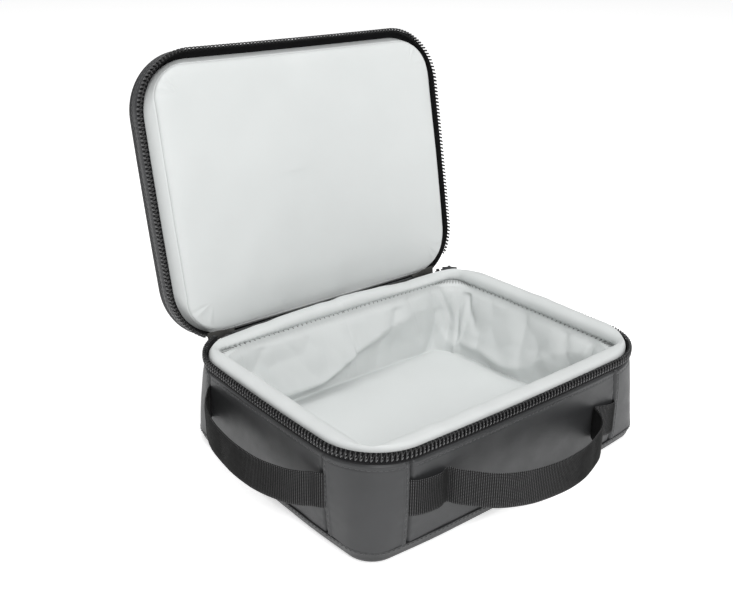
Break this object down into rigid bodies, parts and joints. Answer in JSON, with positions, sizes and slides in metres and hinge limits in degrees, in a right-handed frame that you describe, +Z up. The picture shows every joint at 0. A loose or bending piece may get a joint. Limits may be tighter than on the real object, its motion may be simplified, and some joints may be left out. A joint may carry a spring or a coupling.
{
  "type": "lipo safe bag",
  "caption": "Padded zippered storage box for model aircraft and car batteries, with a hinged padded lid and webbing carry handles.",
  "frame": {"origin": "middle of the flat bottom, on the surface it stands on", "axes": "+X along the hinge, +Y from the front handle towards the hinge, +Z up"},
  "size_m": [0.2609, 0.2729, 0.2398],
  "materials": {
    "shell": "satin coated charcoal cloth",
    "lining": "matt silver-grey heat-resistant cloth",
    "foam": "matt fire-resistant padding",
    "zipper_tape": "black woven tape",
    "zipper_coil": "black nylon coil",
    "webbing": "black ribbed webbing",
    "slider_metal": "black painted die-cast metal"
  },
  "bodies": {
    "base": {"bottom_panel": "shell", "front_panel": "shell", "left_panel": "shell", "right_panel": "shell", "back_panel": "shell", "corner_front_left": "shell", "corner_front_right": "shell", "corner_back_left": "shell", "corner_back_right": "shell", "foam_front": "foam", "foam_left": "foam", "foam_right": "foam", "foam_back": "foam", "foam_bottom": "foam", "lining_front": "lining", "lining_left": "lining", "lining_right": "lining", "lining_back": "lining", "floor_pad": "lining", "rim_roll": "lining", "zipper_tape_base": "zipper_tape", "zipper_coil_base": "zipper_coil", "end_stop_left": "shell", "end_stop_right": "shell", "hinge_strip_lower": "shell", "handle_front_end_left": "webbing", "handle_front_end_right": "webbing", "handle_left_end_front": "webbing", "handle_left_end_back": "webbing"},
    "lid": {"lid_panel": "shell", "lid_gusset": "shell", "lid_binding": "shell", "lid_foam": "foam", "lid_lining": "lining", "zipper_tape_lid": "zipper_tape", "zipper_coil_lid": "zipper_coil", "hinge_strip_upper": "shell"},
    "front_handle": {"handle_front_loop": "webbing"},
    "left_handle": {"handle_left_loop": "webbing"},
    "slider": {"slider_body": "slider_metal"},
    "pull": {"slider_pull": "slider_metal"}
  },
  "joints": [
    {"name": "lid_hinge", "type": "hinge", "parent": "base", "child": "lid", "pos_m": [0, 0.089, 0.0622], "axis": [-1, 0, 0], "range_deg": [-101.3, 20]},
    {"name": "front_handle_swing", "type": "hinge", "parent": "base", "child": "front_handle", "pos_m": [0.00003, -0.10158, 0.03333], "axis": [-0.9986, -0.0067, 0.0517], "range_deg": [-30, 30]},
    {"name": "left_handle_swing", "type": "hinge", "parent": "base", "child": "left_handle", "pos_m": [-0.12768, -0.00058, 0.03708], "axis": [0.0047, 0.9997, 0.0222], "range_deg": [-30, 30]},
    {"name": "slider_travel", "type": "hinge", "parent": "base", "child": "slider", "pos_m": [0.08, 0.053, 0.066], "axis": [0, 0, -1], "range_deg": [-4, 50]},
    {"name": "pull_swing", "type": "hinge", "parent": "slider", "child": "pull", "pos_m": [0.10741, 0.08567, 0.0637], "axis": [0.766, -0.6428, 0], "range_deg": [0, 90]}
  ]
}
